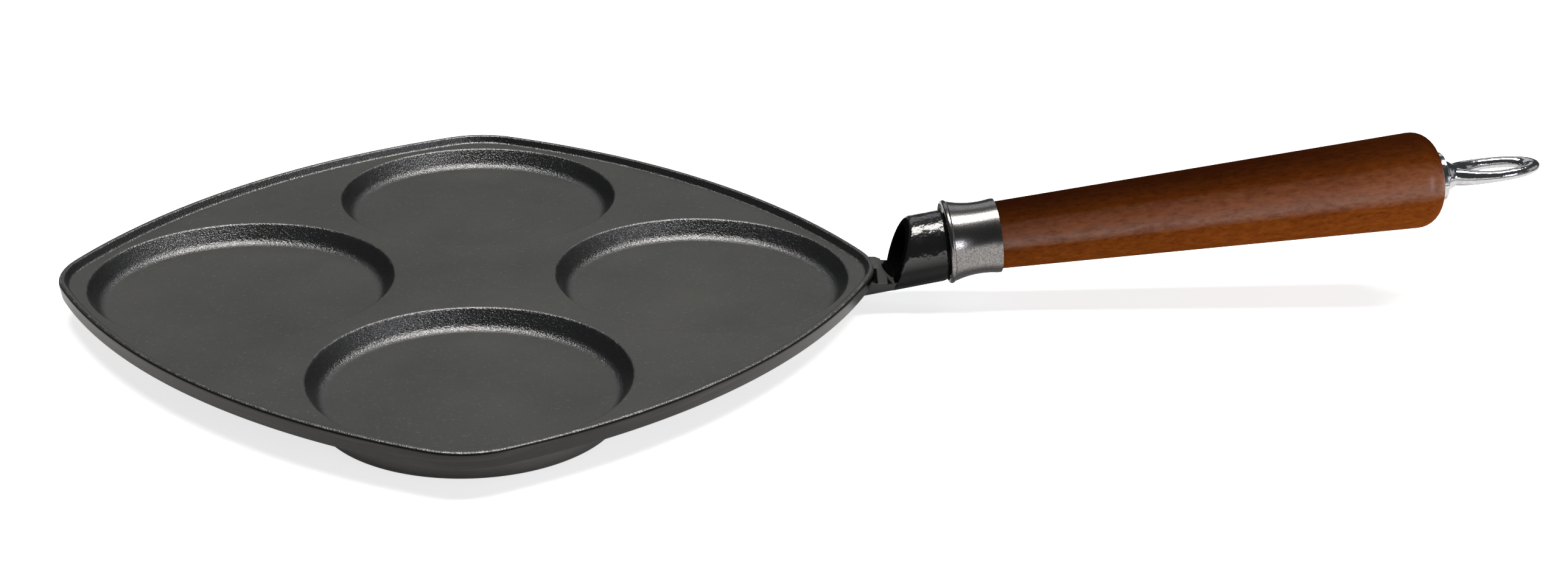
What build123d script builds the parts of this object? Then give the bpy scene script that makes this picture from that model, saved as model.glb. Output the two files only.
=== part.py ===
from build123d import *
import math
import os

# Cast iron egg pan with four round wells, a turned wooden handle and a hanging loop.
# Millimetres and degrees. The origin is on the hob, under the middle of the four wells.
# +X points along the handle and +Z is up.

# Four round wells, each over a round pad that stands on the hob
well_count = 4
well_radius = 48.0           # at the deck
well_bridge = 8.65           # deck between the edges of two neighbouring wells
well_depth = 6.5
well_wall_angle = 28.0       # from upright
well_floor_round = 4.0
well_edge_round = 1.0
pad_inset = 3.0              # the pad's foot is this much smaller than the well, on the radius
pad_wall_angle = 21.0
pad_edge_round = 2.0
pad_root_round = 1.5

# Plate seen from above: a square on its corner, with rounded corners and bowed sides
corner_margin = 9.0          # a well's edge to the tip of the plate's corner
corner_radius = 28.0
side_radius = 228.0          # bow of the four sides
deck_height = 11.8           # hob to the flat deck between the wells
deck_thickness = 2.9
wall_lean = 0.8              # the outer wall draws in by this from the rim to the underside
underside_round = 0.7

# Raised rim round the deck
rim_height = 2.7
rim_width = 2.1              # across its flat top
rim_slope = 0.8              # its inner side is this much further in at the deck
rim_foot_round = 1.0
rim_inner_round = 0.7
rim_outer_round = 0.4

# Axis of the turned handle, from the joint where the handle meets the socket's end face
joint_gap = 24.0             # tip of the plate's corner to the joint
joint_rise = 9.7             # deck to the joint's middle
handle_tilt = 7.3            # the handle rises at this angle

# Socket: a hollow stub cast with the plate, its slanted mouth open towards the plate
socket_radius = 11.75
socket_wall = 3.0
socket_end_wall = 4.0        # the tie rod passes through this wall
socket_tilt = 10.8
socket_drop = 0.95           # its axis passes this far under the joint's middle
socket_end_round = 2.5
mouth_gap = 7.0              # tip of the corner to the mouth, on the socket's axis
mouth_lean = 14.0            # the mouth's top leans towards the handle
mouth_round = 1.8
scoop_length = 4.4           # the bore runs on past the mouth, towards the plate, by this
scoop_round = 6.0            # rounds the end of that scoop
neck_overlap = 6.0           # the neck starts this far inside the pad's edge
neck_step = 0.1              # the neck is this much slimmer than the socket, on the radius
neck_drop = 0.8              # the neck's sides stop this far under the deck
web_width = 10.0             # top of the bridge from the rim to the mouth, at the rim's height
web_level = 0.8              # tip of the corner to where the bridge's top starts to fall
web_fall = 38.0              # its top falls towards the mouth at this angle
web_flare = 55.0             # the bridge's flanks lean out by this angle from upright
web_round = 0.6

# Threaded tie rod, nut and spring washer, with their threads left plain
rod_diameter = 5.8
rod_end_bevel = 0.5
rod_clearance = 0.3          # on the radius, in the wood, the socket, the ferrule and the washer
thread_clearance = 0.1       # on the radius, in the nut and the loop
rod_past_nut = 2.0
rod_in_loop = 5.0
nut_across_flats = 10.0
nut_thickness = 5.0
nut_bevel_angle = 30.0
washer_diameter = 11.8
washer_thickness = 1.6
washer_slit = 1.5
washer_slit_angle = 20.0

# Wooden handle: turned, tapered, thick at its free end, with a spigot in the ferrule
wood_length = 149.4          # its bare length, from the ferrule's edge to its end face
wood_neck_radius = 11.2
wood_butt_radius = 16.4
wood_end_round = 7.5
spigot_step = 1.1            # the spigot is this much thinner than the neck, on the radius
spigot_clearance = 0.2

# Ferrule: a flared metal collar with an end wall and a shallow cup for the socket's end
ferrule_length = 16.6        # joint to its edge on the wood
ferrule_end_wall = 2.0
ferrule_lip = 0.9            # its bead reaches this far over the socket's end
ferrule_cup_clearance = 0.15
ferrule_bead_wall = 1.05     # bead outside the cup
ferrule_bead_flat = 0.15     # width of the bead's flat front
ferrule_waist_wall = 1.65    # at the waist, round the spigot
ferrule_waist_place = 9.5    # joint to the waist
ferrule_step = 1.2           # its back edge stands this far proud of the wood
ferrule_back_band = 1.2

# Hanging loop: one plated casting with a flange, a flared stem and an oval eye
flange_radius = 8.25
flange_thickness = 2.5
flange_round = 0.4
stem_foot_radius = 7.5
stem_radius = 4.5
stem_length = 4.5
eye_root_radius = 4.2        # the eye's outline runs round three circles in a row
eye_middle_radius = 7.85
eye_tip_radius = 6.2
eye_middle_gap = 13.5        # end of the stem to the middle circle
eye_tip_gap = 9.6            # middle circle to the tip's circle
eye_leg_width = 3.0
eye_hole_root_radius = 2.8
eye_hole_root_gap = 5.3      # middle circle back to the hole's first circle
eye_root_thickness = 7.6
eye_leg_thickness = 3.2
eye_taper = 20.2             # from the root, the legs thin over this length
eye_round = 1.1

# Places and sizes that follow from the ones above
well_reach = (well_radius + well_bridge / 2) / math.sin(math.pi / well_count)
corner_reach = well_reach + well_radius + corner_margin
pad_radius = well_radius - pad_inset
rod_radius = rod_diameter / 2
rim_top = deck_height + rim_height
underside = deck_height - deck_thickness
joint_reach = corner_reach + joint_gap
joint_height = deck_height + joint_rise
spigot_radius = wood_neck_radius - spigot_step
wood_end = ferrule_length + wood_length
overrun = 20.0               # how far a cutting shape runs past what it cuts


def slope(angle, length):
    """How far a line that leans by angle moves aside over a length."""
    return length * math.tan(math.radians(angle))


def tilted_frame(reach, height, tilt):
    """A frame whose Z runs along an axis that rises towards +X, and whose X points up."""
    angle = math.radians(tilt)
    along = (math.cos(angle), 0, math.sin(angle))
    up = (-math.sin(angle), 0, math.cos(angle))
    return Plane(origin=(reach, 0, height), x_dir=up, z_dir=along).location


def turned(*outline):
    """A solid turned about Z from a closed outline of radius and height pairs, or of lines."""
    if isinstance(outline[0], tuple):
        outline = [Polyline(*outline, close=True)]
    return revolve(Plane.XZ * make_face(list(outline)), Axis.Z)


def make_polygon(*corners):
    """A flat face inside straight sides."""
    return make_face(Polyline(*corners, close=True))


def rod_shape(radius, start, length):
    """A plain round bar along Z."""
    return Pos(0, 0, start) * Cylinder(radius, length, align=(Align.CENTER, Align.CENTER, Align.MIN))


def ring_edges(shape, radius, height):
    """Round edges of a radius at a height."""
    circles = shape.edges().filter_by(GeomType.CIRCLE)
    return [edge for edge in circles
            if abs(edge.radius - radius) < 0.01 and abs(edge.center().Z - height) < 0.01]


handle_frame = tilted_frame(joint_reach, joint_height, handle_tilt)
socket_frame = handle_frame * Pos(-socket_drop, 0, 0) * Rot(Y=socket_tilt - handle_tilt)
mouth_reach = corner_reach + mouth_gap
mouth_height = joint_height - socket_drop - slope(socket_tilt, joint_reach - mouth_reach)
mouth_frame = Pos(mouth_reach, 0, mouth_height) * Rot(Y=mouth_lean)


def plan(inset, height):
    """The plate's outline, drawn in by inset about the same arc centres, at a height."""
    corner_centre = corner_reach - corner_radius
    between = side_radius - corner_radius
    side_centre = (math.sqrt(2 * between**2 - corner_centre**2) - corner_centre) / 2
    turn = math.atan2(side_centre, corner_centre + side_centre)
    corner = corner_radius - inset
    belly = (side_radius - inset) / math.sqrt(2) - side_centre
    along = corner_centre + corner * math.cos(turn)
    across = corner * math.sin(turn)
    edges = []
    for quarter in range(4):
        corner_arc = ThreePointArc((along, -across), (corner_centre + corner, 0), (along, across))
        side_arc = ThreePointArc((along, across), (belly, belly), (across, along))
        edges += [Rot(Z=90 * quarter) * corner_arc, Rot(Z=90 * quarter) * side_arc]
    return Pos(0, 0, height) * make_face(edges)


def well_places():
    return [Rot(Z=360 / well_count * turn) * Pos(well_reach, 0, 0) for turn in range(well_count)]


def pan_plate():
    """The drafted plate with its rim and pads, before the wells are cut."""
    plate = loft([plan(wall_lean, underside), plan(0, rim_top)], ruled=True)
    plate -= loft([plan(rim_width + rim_slope, deck_height), plan(rim_width, rim_top)], ruled=True)
    plate = fillet(plate.faces().sort_by(Axis.Z)[0].edges(), underside_round)
    plate = fillet(plate.edges().filter_by_position(Axis.Z, deck_height, deck_height), rim_foot_round)
    plate = fillet(plate.faces().sort_by(Axis.Z)[-1].inner_wires()[0].edges(), rim_inner_round)
    plate = fillet(plate.faces().sort_by(Axis.Z)[-1].outer_wire().edges(), rim_outer_round)

    pad_top = pad_radius + slope(pad_wall_angle, underside)
    for place in well_places():
        pad = turned((0, 0), (pad_radius, 0), (pad_top, underside),
                     (pad_top, underside + deck_thickness / 2), (0, underside + deck_thickness / 2))
        plate += place * fillet(ring_edges(pad, pad_radius, 0), pad_edge_round)
    return fillet(ring_edges(plate, pad_top, underside), pad_root_round)


def well_space():
    """What one well holds, turned about its middle, up past the rim."""
    floor_radius = well_radius - slope(well_wall_angle, well_depth)
    space = turned((0, -well_depth), (floor_radius, -well_depth), (well_radius, 0),
                   (well_radius, rim_height + overrun), (0, rim_height + overrun))
    space = fillet(ring_edges(space, floor_radius, -well_depth), well_floor_round)
    return Pos(0, 0, deck_height) * space


def web_to_mouth():
    """The bridge from the rim to the mouth: flared flanks, and a top that is level, then falls."""
    top = web_width / 2
    foot = top + slope(web_flare, rim_top - underside)
    section = make_polygon((-foot, underside), (foot, underside), (top, rim_top), (-top, rim_top))
    start, bend = corner_reach - rim_width / 2, corner_reach + web_level
    end = rim_top - (mouth_reach - bend) * math.tan(math.radians(web_fall))
    side = make_polygon((start, underside), (start, rim_top), (bend, rim_top), (mouth_reach, end),
                        (mouth_reach, underside))
    web = extrude(Plane.YZ * section, mouth_reach) & extrude(Plane.XZ * side, foot, both=True)
    under = web.faces().sort_by(Axis.Z)[0].edges()
    ridges = [edge for edge in web.edges() - under if abs(edge.tangent_at(0.5).X) > 0.5]
    return fillet(ridges, web_round)


def socket_stub():
    """The hollow stub, and the neck that runs on under the plate's corner into the pad."""
    stretch = math.cos(math.radians(socket_tilt))
    root = (joint_reach - well_reach - pad_radius + neck_overlap) / stretch
    mouth = (joint_reach - mouth_reach) / stretch
    before_mouth = mouth_frame * Pos(-2 * overrun, 0, 0) * Box(4 * overrun, 4 * overrun, 4 * overrun)
    stub = socket_frame * rod_shape(socket_radius, -root, root + overrun) - before_mouth
    stub -= handle_frame * rod_shape(2 * overrun, 0, 2 * overrun)
    stub = fillet(stub.faces().sort_by(Axis.X)[-1].edges(), socket_end_round)
    lip = [edge for edge in stub.edges().filter_by(GeomType.ELLIPSE)
           if abs(Plane(mouth_frame).to_local_coords(edge.center()).X) < mouth_round]
    stub = fillet(lip, mouth_round)

    neck_top = deck_height - neck_drop
    under_web = socket_frame * rod_shape(socket_radius - neck_step, -root, root - mouth + 2 * mouth_round)
    over_neck = Pos(mouth_reach, 0, neck_top + 2 * overrun) * Box(6 * overrun, 4 * overrun, 4 * overrun)
    stub += under_web - over_neck

    stub += web_to_mouth() & under_web

    bore = rod_shape(socket_radius - socket_wall, -mouth - scoop_length, mouth + scoop_length)
    bore = socket_frame * fillet(bore.faces().sort_by(Axis.Z)[0].edges(), scoop_round)
    stub -= bore - handle_frame * rod_shape(2 * overrun, -socket_end_wall, 2 * overrun)
    return stub - handle_frame * rod_shape(rod_radius + rod_clearance, -2 * socket_end_wall,
                                           4 * socket_end_wall)


def pan_body():
    """Plate, rim, pads, wells, neck and socket: one iron casting."""
    body = pan_plate() + socket_stub()
    for place in well_places():
        body -= place * well_space()
    return fillet(ring_edges(body, well_radius, deck_height), well_edge_round)


def ferrule():
    """The collar, turned from the joint outwards: cup, end wall and waisted outside."""
    front = -ferrule_lip
    cup = socket_radius + socket_drop + ferrule_cup_clearance
    bead = cup + ferrule_bead_wall
    flat_end = (cup + ferrule_bead_flat, front)
    bead_round = ferrule_bead_wall - ferrule_bead_flat
    bead_back = (bead - bead_round / 2, front + 2 * bead_round)
    bore = spigot_radius + spigot_clearance
    waist = (bore + ferrule_waist_wall, ferrule_waist_place)
    back = wood_neck_radius + ferrule_step
    band = ferrule_length - ferrule_back_band
    hole = rod_radius + rod_clearance
    return handle_frame * turned(
        Line((cup, front), flat_end),
        ThreePointArc(flat_end, (bead, front + bead_round), bead_back),
        ThreePointArc(bead_back, waist, (back, band)),
        Polyline((back, band), (back, ferrule_length), (bore, ferrule_length),
                 (bore, ferrule_end_wall), (hole, ferrule_end_wall), (hole, 0), (cup, 0), (cup, front)))


def wood_handle():
    """The turned handle, with a spigot in the ferrule and a bore for the tie rod."""
    bore = rod_radius + rod_clearance
    wood = turned((bore, ferrule_end_wall), (spigot_radius, ferrule_end_wall),
                  (spigot_radius, ferrule_length), (wood_neck_radius, ferrule_length),
                  (wood_butt_radius, wood_end), (bore, wood_end))
    return handle_frame * fillet(ring_edges(wood, wood_butt_radius, wood_end), wood_end_round)


def round_outline(radii, places):
    """A face inside a cord drawn round circles in a row on the sketch's Y axis."""
    turns = [math.asin((near - far) / (far_place - near_place))
             for near, far, near_place, far_place in zip(radii, radii[1:], places, places[1:])]
    turns = [-math.pi / 2] + turns + [math.pi / 2]
    half = []
    for radius, place, first, end in zip(radii, places, turns, turns[1:]):
        start, middle, stop = [(radius * math.cos(turn), place + radius * math.sin(turn))
                               for turn in (first, (first + end) / 2, end)]
        if half:
            half.append(Line(half[-1] @ 1, start))
        half.append(ThreePointArc(start, middle, stop))
    return make_face(half + [mirror(edge, Plane.YZ) for edge in half])


def eye():
    """The oval eye: an outline with a hole, thick at the root and thin along its legs."""
    root_place = flange_thickness + stem_length
    middle_place = root_place + eye_middle_gap
    tip_place = middle_place + eye_tip_gap
    outside = round_outline((eye_root_radius, eye_middle_radius, eye_tip_radius),
                            (root_place, middle_place, tip_place))
    inside = round_outline((eye_hole_root_radius, eye_middle_radius - eye_leg_width,
                            eye_tip_radius - eye_leg_width),
                           (middle_place - eye_hole_root_gap, middle_place, tip_place))
    plate = extrude(Plane.YZ * (outside - inside), eye_root_thickness, both=True)

    root, thin = eye_root_thickness / 2, eye_leg_thickness / 2
    start = root_place - eye_root_radius
    taper_end = start + eye_taper
    tip = tip_place + eye_tip_radius + overrun
    upper = TangentArc((thin, taper_end), (root, start), tangent=(0, -1))
    profile = make_face([upper, mirror(upper, Plane.YZ), Line((root, start), (-root, start)),
                         Polyline((thin, taper_end), (thin, tip), (-thin, tip), (-thin, taper_end))])
    plate &= extrude(Plane.XZ * profile, 2 * eye_middle_radius, both=True)
    upright = plate.edges().filter_by(Axis.X)
    seams = [edge for edge in plate.edges().filter_by(Axis.Y)
             if abs(edge.center().Z - taper_end) < 0.01]
    foot = plate.faces().sort_by(Axis.Z)[0].edges()
    return fillet([edge for edge in plate.edges() - upright - foot if edge not in seams], eye_round)


def hanging_loop():
    """Flange, flared stem and eye in one casting, with a blind hole for the tie rod."""
    flange = rod_shape(flange_radius, 0, flange_thickness)
    flange = fillet(flange.edges().filter_by(GeomType.CIRCLE), flange_round)
    stem_end = flange_thickness + stem_length
    sunk = flange_thickness / 2
    flare = TangentArc((stem_radius, stem_end), (stem_foot_radius, flange_thickness), tangent=(0, -1))
    stem = turned(flare, Polyline((stem_foot_radius, flange_thickness), (stem_foot_radius, sunk),
                                  (0, sunk), (0, stem_end), (stem_radius, stem_end)))
    hole = rod_shape(rod_radius + thread_clearance, -overrun, overrun + rod_in_loop + thread_clearance)
    return handle_frame * Pos(0, 0, wood_end) * (flange + stem + eye() - hole)


def tie_rod():
    start = -(socket_end_wall + washer_thickness + nut_thickness + rod_past_nut)
    rod = rod_shape(rod_radius, start, wood_end + rod_in_loop - start)
    return handle_frame * chamfer(rod.edges().filter_by(GeomType.CIRCLE), rod_end_bevel)


def hex_nut():
    """A hexagon whose corners are turned off at an angle on the free face."""
    seat = -(socket_end_wall + washer_thickness)
    free = seat - nut_thickness
    flat = nut_across_flats / 2
    corner = flat / math.cos(math.radians(30))
    hexagon = Pos(0, 0, free) * extrude(RegularPolygon(corner, 6), nut_thickness)
    turned_off = turned((0, free), (flat, free), (corner, free + slope(nut_bevel_angle, corner - flat)),
                        (corner, seat), (0, seat))
    hole = rod_shape(rod_radius + thread_clearance, free - overrun, nut_thickness + 2 * overrun)
    return handle_frame * ((hexagon & turned_off) - hole)


def lock_washer():
    """A flat spring ring, cut through by a slanted slit."""
    face = -(socket_end_wall + washer_thickness)
    ring = rod_shape(washer_diameter / 2, face, washer_thickness)
    ring -= rod_shape(rod_radius + rod_clearance, face - overrun, 2 * overrun)
    slit = Box(washer_slit, washer_diameter, 4 * washer_thickness)
    return handle_frame * (ring - Pos(0, washer_diameter / 2, face + washer_thickness / 2)
                           * Rot(Y=washer_slit_angle) * slit)


parts = {
    "pan_body": pan_body(),
    "ferrule": ferrule(),
    "wood_handle": wood_handle(),
    "hanging_loop": hanging_loop(),
    "tie_rod": tie_rod(),
    "hex_nut": hex_nut(),
    "lock_washer": lock_washer(),
}

os.makedirs("parts", exist_ok=True)
for name, shape in parts.items():
    export_step(shape, f"parts/{name}.step")
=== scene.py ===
# %% [markdown]
# # A cast iron egg pan
#
# The pan has four shallow wells in a square iron plate that stands on its corner, and a hollow
# iron socket cast on one corner. A metal ferrule, a turned wooden handle and a plated hanging
# loop are clamped to that socket by one long rod. The frame that is loaded here holds each
# piece at its real size. This lesson gives them their visible surfaces and finishes.

# %% Load the frame
import math

import bmesh
import bpy
import numpy as np
from mathutils import Matrix, Vector


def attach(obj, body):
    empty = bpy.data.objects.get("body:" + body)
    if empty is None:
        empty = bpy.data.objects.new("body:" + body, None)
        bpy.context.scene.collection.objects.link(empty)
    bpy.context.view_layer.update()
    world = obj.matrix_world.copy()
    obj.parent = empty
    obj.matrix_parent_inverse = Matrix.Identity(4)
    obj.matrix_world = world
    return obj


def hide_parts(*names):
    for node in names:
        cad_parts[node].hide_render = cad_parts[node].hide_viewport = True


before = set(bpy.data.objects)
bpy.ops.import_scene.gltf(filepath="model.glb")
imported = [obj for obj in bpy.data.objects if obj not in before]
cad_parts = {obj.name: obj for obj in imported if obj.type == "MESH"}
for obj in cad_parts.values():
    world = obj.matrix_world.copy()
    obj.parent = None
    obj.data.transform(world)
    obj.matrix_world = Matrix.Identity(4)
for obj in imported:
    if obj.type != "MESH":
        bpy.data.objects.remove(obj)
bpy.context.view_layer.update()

print("Nodes in the frame:", ", ".join(sorted(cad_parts)))

# %% [markdown]
# ## Where the camera stands
#
# A photograph is matched by three angles, a place and a lens. The view looks down on the pan by
# about 23 degrees and a little to the right, and leans over by 2 degrees. A constraint that
# tracks the pan could aim the camera, but it leaves out the lean. Building the matrix from the
# camera's three axes keeps each angle readable, and avoids a chain of turns whose order is easy
# to get wrong.

# %% Camera
CAMERA_PLACE = (0.018766, -0.673367, 0.295526)
CAMERA_AZIMUTH = math.radians(-6.985)
CAMERA_ELEVATION = math.radians(23.216)
CAMERA_ROLL = math.radians(1.927)
LENS_MM = 51.135
VIEW_END = 50


def camera_matrix(azimuth, elevation, roll, place):
    """Columns are the camera's right, up and back axes. Back is the direction of azimuth and
    elevation. Right and up are a level and a rising axis, both turned about back by roll."""
    back = Vector((math.sin(azimuth) * math.cos(elevation),
                   -math.cos(azimuth) * math.cos(elevation), math.sin(elevation)))
    level = (-back).cross(Vector((0, 0, 1))).normalized()
    above = level.cross(-back)
    right = level * math.cos(roll) + above * math.sin(roll)
    up = above * math.cos(roll) - level * math.sin(roll)
    turn = Matrix((right, up, back)).transposed().to_4x4()
    return Matrix.Translation(place) @ turn


scene = bpy.context.scene
camera = bpy.data.objects.new("camera", bpy.data.cameras.new("camera"))
camera.data.lens = LENS_MM
camera.data.clip_end = VIEW_END
camera.matrix_world = camera_matrix(CAMERA_AZIMUTH, CAMERA_ELEVATION, CAMERA_ROLL, CAMERA_PLACE)
scene.collection.objects.link(camera)
scene.camera = camera
scene.view_settings.view_transform = "Standard"
print("Camera", round(camera.location.length, 3), "m from the middle of the pan")

# %% [markdown]
# ## Nodes by name
#
# A material is a graph of nodes. It could be drawn by hand in the Shader Editor, but a script
# is easier to read again. One small helper adds a node and feeds its inputs by name, so that
# each finish below reads as a list of what feeds what.

# %% Add and feed a node
def feed(tree, socket, value):
    """Links another node's output to this socket, or sets the socket to a plain value."""
    if isinstance(value, bpy.types.NodeSocket):
        tree.links.new(value, socket)
    else:
        socket.default_value = value


def add(tree, kind, settings=None, **inputs):
    """A new node with its own properties set. An input is fed by its name, with _ for a space,
    or by i and its number where several inputs share a name."""
    node = tree.nodes.new(kind)
    for name, value in (settings or {}).items():
        setattr(node, name, value)
    for name, value in inputs.items():
        numbered = name[0] == "i" and name[1:].isdigit()
        feed(tree, node.inputs[int(name[1:]) if numbered else name.replace("_", " ")], value)
    return node


def new_material(name):
    """A material without nodes, and its tree."""
    material = bpy.data.materials.new(name)
    material.use_nodes = True
    material.node_tree.nodes.clear()
    return material, material.node_tree


def finish_material(tree, shader):
    """Joins the last shader to the material's output."""
    add(tree, "ShaderNodeOutputMaterial", Surface=shader)


print("A node's inputs are fed by name, such as Base_Color")


# %% Places, patterns and values
def object_place(tree):
    """Each point's place in its piece's own coordinates, which are the frame's."""
    return add(tree, "ShaderNodeTexCoord").outputs["Object"]


def noise(tree, place, scale, detail=3.0, roughness=0.5):
    """A cloudy value, mostly 0.3 to 0.7, with about this many clouds to a unit of place."""
    return add(tree, "ShaderNodeTexNoise", Vector=place, Scale=scale, Detail=detail,
               Roughness=roughness).outputs["Fac"]


def between(tree, value, low, high, to_low=0.0, to_high=1.0):
    """Maps low..high to to_low..to_high, held at both ends."""
    return add(tree, "ShaderNodeMapRange", From_Min=low, From_Max=high, To_Min=to_low,
               To_Max=to_high, Value=value).outputs["Result"]


def combine(tree, way, *values):
    """One step of arithmetic on one or two values, such as ADD, MULTIPLY or ABSOLUTE."""
    node = add(tree, "ShaderNodeMath", {"operation": way})
    for socket, value in zip(node.inputs, values):
        feed(tree, socket, value)
    return node.outputs[0]


print("A noise of scale 900 has grains of about", round(1000 / 900, 1), "mm")


# %% Colours and the all-round shader
def grey(level):
    """A neutral colour."""
    return (level, level, level)


def mix_colours(tree, share, first, second, way="MIX"):
    """first * (1 - share) + second * share. With MULTIPLY, first * second stands for second."""
    node = add(tree, "ShaderNodeMix", {"data_type": "RGBA", "blend_type": way})
    for number, value in ((0, share), (6, first), (7, second)):
        feed(tree, node.inputs[number], (*value, 1) if isinstance(value, tuple) else value)
    return node.outputs[2]


def principled(tree, **inputs):
    """The all-round shader, whose constant values sit on its own sockets."""
    return add(tree, "ShaderNodeBsdfPrincipled", **inputs).outputs[0]


print("Mid grey is", grey(0.18))

# %% [markdown]
# ## Floor
#
# The pan stands on plain white. Strong light on the floor would make it white too, but that
# light would also fall on the pan. So the floor glows for camera rays, which light nothing, and
# still takes the pan's shadow. Iron and chrome mirror it as well: for mirror rays it is pale
# near the pan, with a little glow, and fades to dark farther off, as a table does in a dim room.

# %% White floor
FLOOR_TONES = grey(0.80), grey(0.83)
FLOOR_GLOW, MIRRORED_GLOW = 0.75, 0.1
FADE_MIDDLE, FADE_START, FADE_END = (0.12, 0.1, 0), 0.45, 0.8
FADED_TONE = grey(0.10)
FLOOR_HALF, FLOOR_DROP = 12.0, 0.0002


def white_floor():
    """Tone: white, mixed to the faded tone by mirrored * share of the fade. Glow: the floor's
    glow for camera rays, plus the mirrored glow * (1 - share of the fade) for mirror rays."""
    material, tree = new_material("floor_white")
    path, place = add(tree, "ShaderNodeLightPath").outputs, object_place(tree)
    mirrored = combine(tree, "MAXIMUM", path["Is Glossy Ray"], path["Is Transmission Ray"])
    away = add(tree, "ShaderNodeVectorMath", {"operation": "DISTANCE"}, i0=place, i1=FADE_MIDDLE)
    far = between(tree, away.outputs["Value"], FADE_START, FADE_END)
    tone = mix_colours(tree, noise(tree, place, 3.0), *FLOOR_TONES)
    tone = mix_colours(tree, combine(tree, "MULTIPLY", far, mirrored), tone, FADED_TONE)
    seen = combine(tree, "MULTIPLY", path["Is Camera Ray"], FLOOR_GLOW)
    near_glow = between(tree, far, 0.0, 1.0, MIRRORED_GLOW, 0.0)
    glow = combine(tree, "ADD", seen, combine(tree, "MULTIPLY", mirrored, near_glow))
    finish_material(tree, principled(tree, Base_Color=tone, Roughness=0.9,
                                     Emission_Color=(1, 1, 1, 1), Emission_Strength=glow))
    return material


floor_corners = [(x * FLOOR_HALF, y * FLOOR_HALF, -FLOOR_DROP)
                 for x, y in ((-1, -1), (1, -1), (1, 1), (-1, 1))]
floor_mesh = bpy.data.meshes.new("floor")
floor_mesh.from_pydata(floor_corners, [], [(0, 1, 2, 3)])
floor_mesh.materials.append(white_floor())
floor = bpy.data.objects.new("floor", floor_mesh)
scene.collection.objects.link(floor)
print("The floor lies", FLOOR_DROP * 1000, "mm under the pads")

# %% [markdown]
# ## Lamps and world
#
# One large lamp would be simpler, but upright iron and round metal need their own lines of
# light. So there are four. A long lamp overhead draws the bright line on every round edge that
# turns up. A small, cool one stands low in front, to the right, for the sheen at mid height of
# the handle. A weak one farther to the right lights the walls that face it. A broad, soft one
# behind gives the flats their even grey. The world itself is nearly dark.

# %% Lamps and world
WORLD_COLOUR, WORLD_STRENGTH = (0.80, 0.84, 0.90, 1), 0.07


def lamp(name, place, aim, size, power, colour):
    """A soft rectangular lamp that faces the point it is aimed at."""
    light = bpy.data.lights.new(name, "AREA")
    light.shape, light.size, light.size_y = "RECTANGLE", *size
    light.energy, light.color = power, colour
    item = bpy.data.objects.new(name, light)
    item.location = place
    item.rotation_euler = (Vector(aim) - Vector(place)).to_track_quat("-Z", "Y").to_euler()
    scene.collection.objects.link(item)


lamp("overhead", place=(0.3, 0.0, 1.52), aim=(0.3, 0, 0), size=(1.6, 0.55),
     power=35.0, colour=(1.0, 0.98, 0.95))
lamp("side", place=(1.1, -1.18, 0.27), aim=(0.2, 0, 0.03), size=(0.28, 0.42),
     power=3.2, colour=(0.90, 0.92, 1.0))
lamp("right", place=(1.9, -0.2, 0.6), aim=(0.3, 0, 0.03), size=(1.2, 0.9),
     power=1.6, colour=(0.97, 0.97, 1.0))
lamp("back", place=(0.1, 1.7, 1.4), aim=(0.1, 0, 0), size=(2.6, 1.0),
     power=6.0, colour=(0.95, 0.97, 1.0))

world = bpy.data.worlds.new("studio")
scene.world = world
world.use_nodes = True
sky = world.node_tree.nodes["Background"].inputs
sky["Color"].default_value = WORLD_COLOUR
sky["Strength"].default_value = WORLD_STRENGTH

# %% [markdown]
# ## Profiles and surfaces
#
# Most of this pan is turned, or a profile carried round an outline. Bevels on boxes and
# cylinders would come close, but a bevel's width is hard to hold where pieces meet. Here a
# profile is written as a few corners, each with the radius that rounds it, and the arcs are
# worked out from those. A surface is a grid of points, worked out as one numpy array. Joining
# neighbours in the grid gives its faces.

# %% Profiles
MM = 0.001
ARC_STEP = math.radians(11)
FEWEST_ARC_STEPS = 3


def rounded(*corners):
    """A line through corners of (across, up, radius). An arc that touches both sides replaces
    a corner: it turns its first spoke into its last one by even steps."""
    points = np.array([corner[:2] for corner in corners], float)
    line = []
    for index, (*_, radius) in enumerate(corners):
        if not radius:
            line.append(points[index:index + 1])
            continue
        arms = points[[index - 1, index + 1]] - points[index]
        arms /= np.linalg.norm(arms, axis=1)[:, None]
        half = math.acos(arms[0] @ arms[1]) / 2
        middle = points[index] + arms.sum(0) / np.linalg.norm(arms.sum(0)) * radius / math.sin(half)
        spokes = points[index] + arms * radius / math.tan(half) - middle
        turn = math.pi - 2 * half
        steps = max(FEWEST_ARC_STEPS, math.ceil(turn / ARC_STEP))
        share = np.linspace(0, 1, steps + 1)[:, None]
        line.append(middle + (np.sin((1 - share) * turn) * spokes[0]
                              + np.sin(share * turn) * spokes[1]) / math.sin(turn))
    return np.concatenate(line)


def spaced(line, longest):
    """The same line with points added, so that no step is longer than this."""
    steps = np.linalg.norm(np.diff(line, axis=0), axis=1)
    parts = [np.linspace(a, b, max(1, math.ceil(step / longest)), endpoint=False)
             for a, b, step in zip(line, line[1:], steps)]
    return np.concatenate(parts + [line[-1:]])


print("A square turn gets", len(rounded((0, 0, 0), (1, 0, 0.5), (1, 1, 0))) - 2, "points")


# %% Faces of a grid
def grid_faces(rows, columns, first=0, wrap_columns=False, wrap_rows=False):
    """Four-sided faces that join each point of a grid to its next row and column."""
    row = np.arange(rows if wrap_rows else rows - 1)[:, None]
    column = np.arange(columns if wrap_columns else columns - 1)[None, :]
    next_row, next_column = (row + 1) % rows, (column + 1) % columns
    corners = (row * columns + column, row * columns + next_column,
               next_row * columns + next_column, next_row * columns + column)
    return np.stack(np.broadcast_arrays(*corners), -1).reshape(-1, 4) + first


print("A grid of 3 by 4 points has", len(grid_faces(3, 4)), "faces")

# %% Finished pieces
SEAM_GAP = 1e-6


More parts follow.
